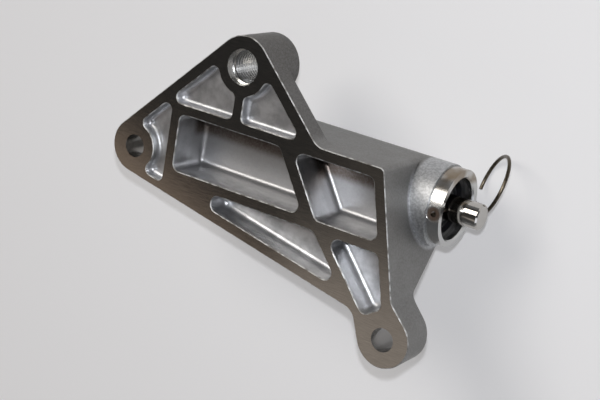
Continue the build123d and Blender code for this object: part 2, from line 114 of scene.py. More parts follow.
# Edges round the pockets, each from one point to the next, anticlockwise, in millimetres
LOWER_LEFT_EDGE = ((-1.8, -9.8), (98.1, -29.5))
LOWER_RIGHT_EDGE = ((115.3, -22.8), (BLOCK_RIGHT, BLOCK_TOP))
BLOCK_EDGE = ((BLOCK_RIGHT, BLOCK_TOP), (14.0, BLOCK_TOP))
UPPER_RIGHT_EDGE = ((78.3, BLOCK_TOP), (56.0, 43.5))
UPPER_BOSS_EDGE = ((60.0, 40.5), (20.0, 40.5))
UPPER_LEFT_EDGE = ((34.0, 48.2), (-7.2, 6.9))

# Two fields of the front in which the pockets lie: how deep each reaches, and its edges; then how
# softly the depth ends, and how far from its edges a field starts and is whole
SHALLOW_FIELD = (-8.4, (LOWER_LEFT_EDGE, UPPER_RIGHT_EDGE, UPPER_BOSS_EDGE, UPPER_LEFT_EDGE))
DEEP_FIELD = (-17.0, (LOWER_LEFT_EDGE, LOWER_RIGHT_EDGE, BLOCK_EDGE))
FIELD_DEPTH_SOFT = 0.2
FIELD_EDGE = (1.0, 2.0)

# Widths of the patterns' blobs in millimetres, and how the marks of the tools stretch them. The lathe's
# rings and the casting's grain are finer in reality, and are drawn as coarse as they need to show
BLOTCH_MM = 9.0
CUTTER_MM = 5.0
TURNING_MM = 0.25
NICK_MM = 2.5
SMUDGE_MM = 6.0
OIL_MM = 1.5
CLOUD_MM = 3.0
WIRE_MM = 1.2
CUTTER_TURN = (0.0, 0.0, math.radians(35))
CUTTER_STRETCH = (1.0, 14.0, 1.0)
LATHE_STRETCH = (1.0, 0.02, 0.02)

# Values of a noise between which one tone changes to the other
PATCHY = (0.3, 0.7)
BLOTCHY = (0.3, 0.6)
GRAINY = (0.35, 0.65)

# How far the roughness wanders with the casting's grain and with the cutter's marks, and with the
# smudges on turned metal as shares of its own
GRAIN_SPREAD = 0.06
CUTTER_SMOOTHER = 0.05
CUTTER_ROUGHER = 0.09
SMUDGE_SPREAD = (0.75, 1.35)

# Roughness of the other finishes, as one value or as the least and the most
WIRE_ROUGH = (0.22, 0.38)
RUBBER_ROUGH = (0.28, 0.5)
NYLON_ROUGH = 0.42
TABLE_ROUGH = 0.8

# Heights of the marks as shares of the casting's grain, strengths of the bumps, and the other
# finishes' bumps in metres
CUTTER_DEPTH = 0.08
TURNING_DEPTH = 0.25
EDGE_LEVEL = 0.5
GRAIN_BUMP = 0.35
GROOVE_HEIGHT = 0.02 * MM
RUBBER_BUMP = 0.3
RUBBER_HEIGHT = 0.05 * MM

# Directions of the photograph's camera
CAMERA_RIGHT = (0.82764, 0.16448, -0.53662)
CAMERA_UP = (-0.28912, 0.94442, -0.15644)
CAMERA_BACK = (0.48106, 0.28463, 0.82920)
SENSOR_WIDTH = 36.0

# Stage, in metres: the floor's size and its gap below the part, the point that the lamps face, and
# the height of the flash above the lens
FLOOR_SIZE = 6.0
STAGE_GAP = 0.0002
LAMP_TARGET = (0.06, 0.0, -0.02)
FLASH_RISE = 0.03

# Panels that the milled face mirrors, in metres from its left hole. The one for the lower boss is a
# stack, each lower and shorter at its far edge than the one before, so that its light grows softly
PANEL_HEIGHT = 0.396
SIDE_PANEL_HEIGHT = 0.398
BOSS_PANELS = 4
BOSS_PANEL_DROP = 0.003
BOSS_PANEL_X = -0.01
BOSS_PANEL_WIDTH = 0.3
BOSS_PANEL_FAR = -0.125
BOSS_PANEL_STEP = 0.015
BOSS_PANEL_NEAR = -0.34

# Heights of the room, as the upward part of the way one looks, between which wall turns to ceiling
WALL_TOP = (0.1, 0.55)

# Kinds of node, each with its settings
ADD = ("ShaderNodeMath", {"operation": "ADD"})
SUBTRACT = ("ShaderNodeMath", {"operation": "SUBTRACT"})
MULTIPLY = ("ShaderNodeMath", {"operation": "MULTIPLY"})
MAXIMUM = ("ShaderNodeMath", {"operation": "MAXIMUM"})
SQUARE_ROOT = ("ShaderNodeMath", {"operation": "SQRT"})
SCALE = ("ShaderNodeVectorMath", {"operation": "SCALE"})
DOT_PRODUCT = ("ShaderNodeVectorMath", {"operation": "DOT_PRODUCT"})
SEPARATE = ("ShaderNodeSeparateXYZ", {})
COORDINATES = ("ShaderNodeTexCoord", {})
GEOMETRY = ("ShaderNodeNewGeometry", {})
LIGHT_PATH = ("ShaderNodeLightPath", {})
MAPPING = ("ShaderNodeMapping", {})
NOISE = ("ShaderNodeTexNoise", {})
SMOOTH_STEP = ("ShaderNodeMapRange", {"interpolation_type": "SMOOTHSTEP"})
MIX_COLOURS = ("ShaderNodeMix", {"data_type": "RGBA"})
MIX_NUMBERS = ("ShaderNodeMix", {"data_type": "FLOAT"})
BUMP = ("ShaderNodeBump", {})
PRINCIPLED = ("ShaderNodeBsdfPrincipled", {})
EMISSION = ("ShaderNodeEmission", {})
TRANSPARENT = ("ShaderNodeBsdfTransparent", {})
MIX_SHADERS = ("ShaderNodeMixShader", {})
BACKGROUND = ("ShaderNodeBackground", {})
MATERIAL_OUTPUT = ("ShaderNodeOutputMaterial", {})
WORLD_OUTPUT = ("ShaderNodeOutputWorld", {})

# Last two values of a smooth step that falls instead of rising
FALLING = (1.0, 0.0)


def linear(text):
    """Blender's linear colour for an sRGB hex value such as #8a8a86."""
    value = text.lstrip("#")
    parts = [int(value[i : i + 2], 16) / 255 for i in (0, 2, 4)]
    out = [c / 12.92 if c <= 0.04045 else ((c + 0.055) / 1.055) ** 2.4 for c in parts]
    return (*out, 1.0)


def node(tree, kind, *values, **named):
    """Add one node with its settings, fill or link its inputs, and return its first output.

    The values fill the inputs that the settings leave in use, in order; the others go by name.
    """
    type_name, settings = kind
    made = tree.nodes.new(type_name)
    for name, value in settings.items():
        setattr(made, name, value)
    filled = list(zip([socket for socket in made.inputs if socket.enabled], values))
    filled += [(made.inputs[name.replace("_", " ")], value) for name, value in named.items()]
    for socket, value in filled:
        if isinstance(value, bpy.types.NodeSocket):
            tree.links.new(value, socket)
        else:
            socket.default_value = value
    return next((socket for socket in made.outputs if socket.enabled), None)


def new_material(name):
    """New material with an empty tree."""
    material = bpy.data.materials.new(name)
    material.use_nodes = True
    material.node_tree.nodes.clear()
    return material, material.node_tree


def face_masks(tree, z, normal_z):
    """Where the milled face is, and the broken edge round it."""
    front = node(tree, SMOOTH_STEP, z, *FACE_Z)
    milled = node(tree, MULTIPLY, front, node(tree, SMOOTH_STEP, normal_z, *FLAT))
    slanted = node(tree, MULTIPLY, front, node(tree, SMOOTH_STEP, normal_z, *SLANTED))
    return milled, node(tree, SUBTRACT, slanted, milled)


def disc_mask(tree, a, b, centre, limits):
    """Where a surface is near an axis, seen along it; the mask falls between two radii."""
    from_a = node(tree, SUBTRACT, a, centre[0])
    from_b = node(tree, SUBTRACT, b, centre[1])
    square_a = node(tree, MULTIPLY, from_a, from_a)
    square_b = node(tree, MULTIPLY, from_b, from_b)
    distance = node(tree, SQUARE_ROOT, node(tree, ADD, square_a, square_b))
    return node(tree, SMOOTH_STEP, distance, *limits, *FALLING)


def hole_masks(tree, x, y, z, milled):
    """Where the three bored holes are, and the counterbore of the upper one."""
    left = disc_mask(tree, x, y, LEFT_HOLE, PLAIN_HOLE_R)
    lower = disc_mask(tree, x, y, LOWER_HOLE, PLAIN_HOLE_R)
    upper = disc_mask(tree, x, y, UPPER_HOLE, UPPER_HOLE_R)
    bored = node(tree, MAXIMUM, node(tree, MAXIMUM, left, lower), upper)
    bored = node(tree, MULTIPLY, bored, node(tree, SUBTRACT, 1.0, milled))
    over_thread = node(tree, SMOOTH_STEP, z, *COUNTERBORE_Z)
    counterbore = node(tree, MULTIPLY, bored, node(tree, MULTIPLY, upper, over_thread))
    return bored, counterbore


def barrel_masks(tree, x, y, z, place):
    """Where the turned mouth ring is, its tarnish round the pin, brown blotches on its upper side, and
    the collar.
    """
    near_axis = disc_mask(tree, y, z, BARREL_AXIS, RING_R)
    ring = node(tree, MULTIPLY, near_axis, node(tree, SMOOTH_STEP, x, *RING_X))

    spot = disc_mask(tree, x, y, PIN_HOLE, SPOT_R)
    ring_front = node(tree, MULTIPLY, ring, node(tree, SMOOTH_STEP, z, *SPOT_Z))
    tarnished = node(tree, MULTIPLY, spot, ring_front)

    blotches = node(tree, SMOOTH_STEP, node(tree, NOISE, place, METRE / BLOTCH_MM), *BLOTCHY)
    ring_top = node(tree, MULTIPLY, ring, node(tree, SMOOTH_STEP, y, *RING_TOP_Y))
    ring_top_blotches = node(tree, MULTIPLY, ring_top, blotches)

    near_collar = disc_mask(tree, y, z, BARREL_AXIS, COLLAR_R)
    collar = node(tree, MULTIPLY, near_collar, node(tree, SMOOTH_STEP, x, *COLLAR_X))
    return ring, tarnished, ring_top_blotches, collar


def field_mask(tree, spot, z, normal_z, field):
    """Where the front is, down to a field's depth and inside its edges."""
    depth, edges = field
    above = node(tree, SMOOTH_STEP, z, depth - FIELD_DEPTH_SOFT, depth + FIELD_DEPTH_SOFT)
    facing = node(tree, SMOOTH_STEP, normal_z, *NOT_FROM_BEHIND)
    mask = node(tree, MULTIPLY, above, facing)
    for (from_x, from_y), (to_x, to_y) in edges:
        length = math.hypot(to_x - from_x, to_y - from_y)
        inward = ((from_y - to_y) / length, (to_x - from_x) / length, 0.0)
        edge = from_x * inward[0] + from_y * inward[1]
        reach = node(tree, DOT_PRODUCT, spot, inward)
        inside = node(tree, SMOOTH_STEP, reach, edge + FIELD_EDGE[0], edge + FIELD_EDGE[1])
        mask = node(tree, MULTIPLY, mask, inside)
    return mask


def pocket_masks(tree, spot, normal_x, normal_z):
    """Where the pockets are, their shallow floors, and the painted shadow of the upper rib in the deep
    ones.
    """
    x, y, z = node(tree, SEPARATE, spot).node.outputs
    shallow_field = field_mask(tree, spot, z, normal_z, SHALLOW_FIELD)
    deep_field = field_mask(tree, spot, z, normal_z, DEEP_FIELD)
    pocket = node(tree, MAXIMUM, shallow_field, deep_field)

    # The outer side by the lower boss's neck, which the deep field takes in, is no pocket
    by_neck = node(tree, SMOOTH_STEP, x, *NECK_X)
    outer_side = node(tree, MULTIPLY, by_neck, node(tree, SMOOTH_STEP, normal_x, *OUTWARD))
    pocket = node(tree, MULTIPLY, pocket, node(tree, SUBTRACT, 1.0, outer_side))

    # Floors near the face keep their tone; walls and deep floors take painted shade
    facing = node(tree, SMOOTH_STEP, normal_z, *WALL_TO_FLOOR)
    shallow = node(tree, MULTIPLY, node(tree, SMOOTH_STEP, z, *SHALLOW_Z), facing)

    # Painted shadow of the upper rib: a brown band along the upper side of the deep pockets' floors
    below = node(tree, SMOOTH_STEP, z, *RIB_SHADOW_Z, *FALLING)
    upper_side = node(tree, MULTIPLY, below, node(tree, SMOOTH_STEP, y, *RIB_SHADOW_Y))
    return pocket, shallow, node(tree, MULTIPLY, upper_side, pocket)


def cast_and_machined_aluminium(finish):
    """Die-cast aluminium, shot blasted, with a milled front face and a turned mouth.

    The casting scatters softly with a fine grain; the milled face mirrors the room darkly;
    its broken edges, the mouth ring and the holes are cut bright and shine in narrow bands.
    """
    material, tree = new_material("Shot blasted die-cast aluminium")
    place = node(tree, COORDINATES).node.outputs["Object"]
    spot = node(tree, SCALE, place, METRE)
    x, y, z = node(tree, SEPARATE, spot).node.outputs
    normal = node(tree, GEOMETRY).node.outputs["Normal"]
    normal_x, _, normal_z = node(tree, SEPARATE, normal).node.outputs

    milled, broken_edge = face_masks(tree, z, normal_z)
    bored, counterbore = hole_masks(tree, x, y, z, milled)
    ring, tarnished, ring_top_blotches, collar = barrel_masks(tree, x, y, z, place)
    machined = node(tree, MAXIMUM, bored, ring)
    # The last mask is the painted shadow of the upper rib in the deep pockets
    pocket, shallow, oily = pocket_masks(tree, spot, normal_x, normal_z)
    # Painted shade: the upright sides of the upper boss and of the plate below it are drawn darker
    upright = node(tree, SMOOTH_STEP, normal_z, *UPRIGHT, *FALLING)
    side = node(tree, MULTIPLY, upright, node(tree, SMOOTH_STEP, y, *SHADED_SIDE_Y))

    # Skin of the casting: its grain, slow stains, patches and bright specks
    grain = node(tree, NOISE, place, METRE / finish.grain_mm, Detail=3.0, Roughness=0.6)
    stain = node(tree, NOISE, place, METRE / finish.stain_mm, Detail=4.0, Roughness=0.6)
    patches = node(tree, NOISE, place, METRE / finish.patch_mm, Detail=3.0, Roughness=0.6)
    patches = node(tree, SMOOTH_STEP, patches, *PATCHY)
    specks = node(tree, NOISE, place, METRE / finish.speckle_mm, Roughness=0.6)
    specks = node(tree, SMOOTH_STEP, specks, *PATCHY)

    # Marks of the tools: the mill's long bows, the lathe's rings round the barrel axis, and nicks
    bows = node(tree, MAPPING, place, Rotation=CUTTER_TURN, Scale=CUTTER_STRETCH)
    cutter = node(tree, NOISE, bows, METRE / CUTTER_MM, Detail=3.0, Roughness=0.6)
    rings = node(tree, MAPPING, place, Scale=LATHE_STRETCH)
    turning = node(tree, NOISE, rings, METRE / TURNING_MM, Detail=1.0)
    nicks = node(tree, NOISE, place, METRE / NICK_MM)
    nicks = node(tree, SMOOTH_STEP, nicks, *GRAINY)

    # Tones, each laid over the ones before it
    skin = node(tree, MIX_COLOURS, stain, linear(finish.cast_dark), linear(finish.cast_light))
    coarse = node(tree, SMOOTH_STEP, grain, *GRAINY)
    coarse = node(tree, MIX_COLOURS, coarse, linear(finish.collar_dark), linear(finish.collar_light))
    clean = node(tree, MIX_COLOURS, patches, linear(finish.pocket_dark), linear(finish.pocket_light))
    # Painted shade: the pockets' walls and deep floors take a darker tone
    clean = node(tree, MIX_COLOURS, shallow, linear(finish.pocket_shade), clean)
    # The brown band on the deep pockets' upper floors is a painted shadow of the upper rib
    rib_shadow_cover = node(tree, MULTIPLY, oily, finish.rib_shadow_strength)
    speck_cover = node(tree, MULTIPLY, specks, finish.speckle)
    face = node(tree, MIX_COLOURS, cutter, linear(finish.milled_dark), linear(finish.milled_light))
    edge = node(tree, MIX_COLOURS, nicks, linear(finish.edge_dull), linear(finish.edge))
    colour = skin
    for mask, tone in (
        (side, linear(finish.side)),
        (collar, coarse),
        (pocket, clean),
        (rib_shadow_cover, linear(finish.rib_shadow)),
        (speck_cover, linear(finish.pocket_light)),
        (milled, face),
        (ring, linear(finish.turned)),
        (tarnished, linear(finish.tarnish)),
        (ring_top_blotches, linear(finish.ring_top_brown)),
        (bored, linear(finish.bored)),
        (counterbore, linear(finish.turned)),
        (broken_edge, edge),
    ):
        colour = node(tree, MIX_COLOURS, mask, colour, tone)

    # Roughness and height, laid in the same way
    rough = finish.cast_rough
    rough = node(tree, MIX_NUMBERS, grain, rough - GRAIN_SPREAD, rough + GRAIN_SPREAD)
    rough = node(tree, SUBTRACT, rough, node(tree, MULTIPLY, pocket, finish.pocket_gloss))
    smoother = finish.milled_rough - CUTTER_SMOOTHER
    face_rough = node(tree, MIX_NUMBERS, cutter, smoother, finish.milled_rough + CUTTER_ROUGHER)
    height = grain
    for mask, mask_rough, mask_height in (
        (milled, face_rough, node(tree, MULTIPLY, cutter, CUTTER_DEPTH)),
        (machined, finish.turned_rough, node(tree, MULTIPLY, turning, TURNING_DEPTH)),
        (broken_edge, finish.edge_rough, EDGE_LEVEL),
    ):
        rough = node(tree, MIX_NUMBERS, mask, rough, mask_rough)
        height = node(tree, MIX_NUMBERS, mask, height, mask_height)
    bump = node(tree, BUMP, Height=height, Strength=GRAIN_BUMP, Distance=finish.grain_height)

    metal = node(tree, PRINCIPLED, Base_Color=colour, Metallic=1.0, Roughness=rough, Normal=bump)
    node(tree, MATERIAL_OUTPUT, metal)
    return material


def turned_metal(name, colour, rough, groove_mm, strength):
    """Turned or ground metal: fine rings round the barrel axis draw its highlights out along it."""
    material, tree = new_material(name)
    place = node(tree, COORDINATES).node.outputs["Object"]
    lathe = node(tree, MAPPING, place, Scale=LATHE_STRETCH)
    rings = node(tree, NOISE, lathe, METRE / groove_mm)
    smudge = node(tree, NOISE, place, METRE / SMUDGE_MM)
    smudged = node(tree, MIX_NUMBERS, smudge, rough * SMUDGE_SPREAD[0], rough * SMUDGE_SPREAD[1])
    bump = node(tree, BUMP, Height=rings, Strength=strength, Distance=GROOVE_HEIGHT)
    tone = linear(colour)
    metal = node(tree, PRINCIPLED, Base_Color=tone, Metallic=1.0, Roughness=smudged, Normal=bump)
    node(tree, MATERIAL_OUTPUT, metal)
    return material


def drawn_wire(name, dark, light):
    """Drawn steel wire, tempered: brown-grey, a little uneven in colour and gloss."""
    material, tree = new_material(name)
    place = node(tree, COORDINATES).node.outputs["Object"]
    spots = node(tree, NOISE, place, METRE / WIRE_MM)
    colour = node(tree, MIX_COLOURS, spots, linear(dark), linear(light))
    rough = node(tree, MIX_NUMBERS, spots, *WIRE_ROUGH)
    wire = node(tree, PRINCIPLED, Base_Color=colour, Metallic=1.0, Roughness=rough)
    node(tree, MATERIAL_OUTPUT, wire)
    return material


def moulded_rubber(dark, light):
    """Nitrile rubber, moulded and oily: black with a soft broad gloss."""
    material, tree = new_material("Moulded nitrile rubber")
    place = node(tree, COORDINATES).node.outputs["Object"]
    oil = node(tree, NOISE, place, METRE / OIL_MM, Detail=3.0)
    colour = node(tree, MIX_COLOURS, oil, linear(dark), linear(light))
    rough = node(tree, MIX_NUMBERS, oil, *RUBBER_ROUGH)
    bump = node(tree, BUMP, Height=oil, Strength=RUBBER_BUMP, Distance=RUBBER_HEIGHT)
    rubber = node(tree, PRINCIPLED, Base_Color=colour, Roughness=rough, Normal=bump)
    node(tree, MATERIAL_OUTPUT, rubber)
    return material


def moulded_nylon():
    """Natural nylon, moulded: milky straw colour with a faint sheen."""
    material, tree = new_material("Moulded natural nylon")
    place = node(tree, COORDINATES).node.outputs["Object"]
    cloud = node(tree, NOISE, place, METRE / CLOUD_MM)
    colour = node(tree, MIX_COLOURS, cloud, linear("#c4b894"), linear("#d6ccac"))
    nylon = node(tree, PRINCIPLED, Base_Color=colour, Roughness=NYLON_ROUGH)
    node(tree, MATERIAL_OUTPUT, nylon)
    return material


def matt_painted_table(light):
    """Matt painted table: a white that scatters the light, with no gloss of its own.

    A glow evens its tone where it is seen, so that it stays pale away from the lamps. It is clear
    from below, so that the underside of the part can be looked at.
    """
    material, tree = new_material("Matt painted table")
    ray = node(tree, LIGHT_PATH).node.outputs
    seen = node(tree, MAXIMUM, ray["Is Camera Ray"], ray["Is Glossy Ray"])
    seen = node(tree, MAXIMUM, seen, ray["Is Transmission Ray"])
    paint = node(tree, PRINCIPLED, Base_Color=linear(light.floor), Roughness=TABLE_ROUGH)
    glow = node(tree, EMISSION, linear(light.floor_seen))
    evenness = node(tree, MULTIPLY, seen, light.floor_evenness)
    above = node(tree, MIX_SHADERS, evenness, paint, glow)

    back = node(tree, GEOMETRY).node.outputs["Backfacing"]
    below = node(tree, MULTIPLY, back, ray["Is Camera Ray"])
    clear = node(tree, TRANSPARENT)
    node(tree, MATERIAL_OUTPUT, node(tree, MIX_SHADERS, below, above, clear))
    return material


def give(node_name, material):
    """Put one material on a carried-over CAD node."""
    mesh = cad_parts[node_name].data
    mesh.materials.clear()
    mesh.materials.append(material)


def new_piece(name, shape, material, body):
    """Make an object from a bmesh, give it its finish and let it ride on a body."""
    mesh = bpy.data.meshes.new(name)
    shape.to_mesh(mesh)
    shape.free()
    piece = bpy.data.objects.new(name, mesh)
    bpy.context.scene.collection.objects.link(piece)
    mesh.materials.append(material)
    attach(piece, body)


class DamperFinish(bpy.types.PropertyGroup):
    """Colours and grain of the damper's surfaces."""

    cast_dark: bpy.props.StringProperty(
        name="Casting, dark", description="Darker tone of the blasted casting", default="#767471"
    )
    cast_light: bpy.props.StringProperty(
        name="Casting, light", description="Lighter tone of the blasted casting", default="#8a8a88"
    )
    cast_rough: bpy.props.FloatProperty(
        name="Casting roughness",
        description="Micro roughness of the casting",
        default=0.52,
        min=0.0,
        max=1.0,
    )
    grain_mm: bpy.props.FloatProperty(
        name="Grain size", description="Width of the drawn grain, in millimetres", default=0.8, min=0.05
    )
    grain_height: bpy.props.FloatProperty(
        name="Grain height",
        description="Depth of the casting's grain",
        default=0.00012,
        unit="LENGTH",
        precision=6,
    )
    stain_mm: bpy.props.FloatProperty(
        name="Stain size",
        description="Width of the slow tone changes, in millimetres",
        default=9.0,
        min=1.0,
    )
    speckle: bpy.props.FloatProperty(
        name="Speckle",
        description="Strength of the casting's bright specks",
        default=0.12,
        min=0.0,
        max=1.0,
    )
    speckle_mm: bpy.props.FloatProperty(
        name="Speck size",
        description="Width of the casting's specks, in millimetres",
        default=0.7,
        min=0.05,
    )
    # Painted shade on the upright sides of the upper boss and the plate
    side: bpy.props.StringProperty(
        name="Shaded sides",
        description="Painted shade on the sides of the upper boss and of the plate below it",
        default="#62605d",
    )
    pocket_dark: bpy.props.StringProperty(
        name="Pockets, dark",
        description="Darker tone of the clean skin inside the pockets",
        default="#a3a4a6",
    )
    pocket_light: bpy.props.StringProperty(
        name="Pockets, light",
        description="Lighter tone of the clean skin inside the pockets, and of the specks",
        default="#c9cacc",
    )
    # Painted shade of the pockets' walls and deep floors
    pocket_shade: bpy.props.StringProperty(
        name="Pockets, shaded",
        description="Painted shade on the pockets' walls and deep floors",
        default="#a4a4a5",
    )
    pocket_gloss: bpy.props.FloatProperty(
        name="Pocket gloss",
        description="How much smoother the pockets are than the outer skin",
        default=0.08,
        min=0.0,
    )
    patch_mm: bpy.props.FloatProperty(
        name="Patch size",
        description="Width of the patches inside the pockets, in millimetres",
        default=5.4,
        min=1.0,
    )
    # Painted shadow: the brown band that the upper rib casts on the deep pockets' floors
    rib_shadow: bpy.props.StringProperty(
        name="Rib shadow",
        description="Tone of the painted shadow of the upper rib on the deep pockets' floors",
        default="#54463a",
    )
    rib_shadow_strength: bpy.props.FloatProperty(
        name="Rib shadow strength",
        description="How much of the skin the painted rib shadow hides",
        default=0.85,
        min=0.0,
        max=1.0,
    )
    collar_dark: bpy.props.StringProperty(
        name="Collar, dark", description="Darker grain of the collar's coarse skin", default="#a4a5a6"
    )
    collar_light: bpy.props.StringProperty(
        name="Collar, light", description="Lighter grain of the collar's coarse skin", default="#c6c7c8"
    )
    milled_dark: bpy.props.StringProperty(
        name="Milled face, dark", description="Darker tone of the cutter's marks", default="#8f8a83"
    )
    milled_light: bpy.props.StringProperty(
        name="Milled face, light", description="Lighter tone of the cutter's marks", default="#c6c1b9"
    )
    milled_rough: bpy.props.FloatProperty(
        name="Milled roughness",
        description="Micro roughness of the milled face",
        default=0.13,
        min=0.0,
        max=1.0,
    )
    edge: bpy.props.StringProperty(
        name="Broken edges, bright",
        description="Bright tone of the milled face's broken edges",
        default="#d2d2d0",
    )
    edge_dull: bpy.props.StringProperty(
        name="Broken edges, dull",
        description="Tone of the broken edges where they are nicked",
        default="#7f7c78",
    )
    edge_rough: bpy.props.FloatProperty(
        name="Edge roughness",
        description="Micro roughness of the broken edges",
        default=0.55,
        min=0.0,
        max=1.0,
    )
    bored: bpy.props.StringProperty(
        name="Bored surfaces", description="Tone of the holes' walls", default="#8d8b88"
    )
    turned: bpy.props.StringProperty(
        name="Turned surfaces",
        description="Tone of the mouth ring, the counterbore and the thread",
        default="#c9c9c7",
    )
    turned_rough: bpy.props.FloatProperty(
        name="Turned roughness",
        description="Micro roughness of the ring and the holes",
        default=0.24,
        min=0.0,
        max=1.0,
    )
    tarnish: bpy.props.StringProperty(
        name="Tarnish", description="Tone of the spot face round the pin's hole", default="#a08d80"
    )
    ring_top_brown: bpy.props.StringProperty(
        name="Ring top", description="Darker brown tone in blotches on the ring's upper side", default="#8a7d6c"
    )
    rod: bpy.props.StringProperty(
        name="Plunger rod", description="Tone of the polished steel", default="#b9b6b1"
    )
    pin_dark: bpy.props.StringProperty(
        name="Locking pin, dark", description="Darker tone of the pin's wire", default="#38332a"
    )
    pin_light: bpy.props.StringProperty(
        name="Locking pin, light", description="Lighter tone of the pin's wire", default="#6e6558"
    )
    rubber_dark: bpy.props.StringProperty(
        name="Rubber, dark", description="Tone of the dry rubber", default="#0b0b0d"
    )
    rubber_light: bpy.props.StringProperty(
        name="Rubber, light", description="Tone of the oily rubber", default="#17181b"
    )


class DamperCamera(bpy.types.PropertyGroup):
    """The photograph's point of view."""

    place: bpy.props.FloatVectorProperty(
        name="Place",
        description="Camera place",
        default=(0.30440, 0.13780, 0.39768),
        subtype="TRANSLATION",
    )
    lens: bpy.props.FloatProperty(
        name="Lens", description="Focal length in millimetres", default=83.52, unit="CAMERA"
    )


class DamperLight(bpy.types.PropertyGroup):
    """Lamps, room and table of the studio."""

    key_power: bpy.props.FloatProperty(
        name="Key", description="Power of the large soft lamp", default=20.0, unit="POWER"
    )
    flash_power: bpy.props.FloatProperty(
        name="Flash", description="Power of the small lamp above the lens", default=1.45, unit="POWER"
    )
    window_power: bpy.props.FloatProperty(
        name="Window", description="Power of the soft lamp on the near side", default=1.6, unit="POWER"
    )
    fill_power: bpy.props.FloatProperty(
        name="Fill", description="Power of the soft lamp at the mouth's side", default=1.5, unit="POWER"
    )
    low_level: bpy.props.FloatProperty(
        name="Low panel",
        description="Brightness that the lower left of the milled face mirrors",
        default=0.38,
        min=0.0,
    )
    side_level: bpy.props.FloatProperty(
        name="Side panel",
        description="Brightness that the right of the milled face mirrors",
        default=0.045,
        min=0.0,
    )
    boss_level: bpy.props.FloatProperty(
        name="Boss panel",
        description="Brightness that the face of the lower boss mirrors",
        default=0.36,
        min=0.0,
    )
    wall_level: bpy.props.FloatProperty(
        name="Walls", description="Brightness of the room's walls", default=0.3, min=0.0
    )
    ceiling_level: bpy.props.FloatProperty(
        name="Ceiling", description="Brightness of the room's ceiling", default=0.045, min=0.0
    )
    floor: bpy.props.StringProperty(name="Floor", description="Colour of the table", default="#e4e4e5")
    floor_seen: bpy.props.StringProperty(
        name="Floor as seen",
        description="Even tone that the table tends to where it is seen",
        default="#d9d8d9",
    )
    floor_evenness: bpy.props.FloatProperty(
        name="Evenness",
        description="How far the table's look tends to that tone",
        default=0.4,
        min=0.0,
        max=1.0,
    )


class FinishHousing(bpy.types.Operator):
    """Give the casting its blasted, milled and turned surfaces"""

    bl_idname = "damper.finish_housing"
    bl_label = "Finish the housing"

    def execute(self, context):
        give("housing", cast_and_machined_aluminium(context.scene.damper_finish))
        return {"FINISHED"}


class CutThread(bpy.types.Operator):
    """Cut the thread of the upper hole"""

    bl_idname = "damper.cut_thread"
    bl_label = "Cut the upper thread"

    def execute(self, context):
        finish = context.scene.damper_finish
        shape = bmesh.new()
        foot = THREAD_PITCH * THREAD_FOOT
        crest = THREAD_PITCH * THREAD_CREST
        root = THREAD_ROOT_R + THREAD_BITE
        profile = ((root, foot), (THREAD_CREST_R, crest), (THREAD_CREST_R, -crest), (root, -foot))
        hole_x, hole_y = UPPER_HOLE
        start = THREAD_TOP - foot
        corners = [
            shape.verts.new(((hole_x + r) * MM, hole_y * MM, (start + z) * MM)) for r, z in profile
        ]
        face = shape.faces.new(corners)
        turns = (THREAD_TOP - THREAD_LOW) / THREAD_PITCH - 1.0
        steps = round(turns * THREAD_STEPS)
        bmesh.ops.spin(
            shape,
            geom=[face, *face.edges, *face.verts],
            cent=(hole_x * MM, hole_y * MM, 0.0),
            axis=(0.0, 0.0, 1.0),
            dvec=(0.0, 0.0, -THREAD_PITCH * turns / steps * MM),
            angle=2.0 * math.pi * turns,
            steps=steps,
        )
        bmesh.ops.recalc_face_normals(shape, faces=shape.faces)
        cut = turned_metal("Cut aluminium thread", finish.turned, rough=0.22, groove_mm=0.3, strength=0.1)
        new_piece("upper_hole_thread", shape, cut, "housing")
        return {"FINISHED"}


class FinishPlunger(bpy.types.Operator):
    """Polish the plunger rod and the check ball"""

    bl_idname = "damper.finish_plunger"
    bl_label = "Finish the plunger"

    def execute(self, context):
        colour = context.scene.damper_finish.rod
        rod = turned_metal("Ground and polished steel", colour, rough=0.1, groove_mm=0.08, strength=0.1)
        for name in ("plunger_rod", "check_ball"):
            give(name, rod)
        return {"FINISHED"}


class FinishHydraulics(bpy.types.Operator):
    """Finish the sleeve, piston, valve and guide inside the barrel"""

    bl_idname = "damper.finish_hydraulics"
    bl_label = "Finish the hydraulic parts"

    def execute(self, context):
        ground = turned_metal("Hardened ground steel", "#9d9c9a", rough=0.2, groove_mm=0.12, strength=0.2)
        for name in ("cylinder_sleeve", "piston", "check_valve_seat"):
            give(name, ground)
        guide = turned_metal("Turned aluminium", "#c6c6c6", rough=0.3, groove_mm=0.2, strength=0.3)
        give("rod_guide", guide)
        bush = turned_metal("Sintered bronze", "#b98b4e", rough=0.35, groove_mm=0.3, strength=0.3)
        give("guide_bush", bush)
        spring = drawn_wire("Oil-tempered spring steel", "#4f4e4c", "#6c6a66")
        springs = ("return_spring", "check_ball_spring", "check_ball_retainer", "snap_ring")
        for name in (*springs, "seal_garter_spring"):
            give(name, spring)
        give("piston_wear_ring", moulded_nylon())
        return {"FINISHED"}


class FinishSeals(bpy.types.Operator):
    """Finish the rubber seal and the sealing ring"""

    bl_idname = "damper.finish_seals"
    bl_label = "Finish the seals"

    def execute(self, context):
        finish = context.scene.damper_finish
        rubber = moulded_rubber(finish.rubber_dark, finish.rubber_light)
        for name in ("oil_seal", "guide_o_ring"):
            give(name, rubber)
        return {"FINISHED"}


class FinishPin(bpy.types.Operator):
    """Finish the locking pin's wire"""

    bl_idname = "damper.finish_pin"
    bl_label = "Finish the locking pin"

    def execute(self, context):
        finish = context.scene.damper_finish
        give("locking_pin", drawn_wire("Drawn tempered wire", finish.pin_dark, finish.pin_light))
        return {"FINISHED"}


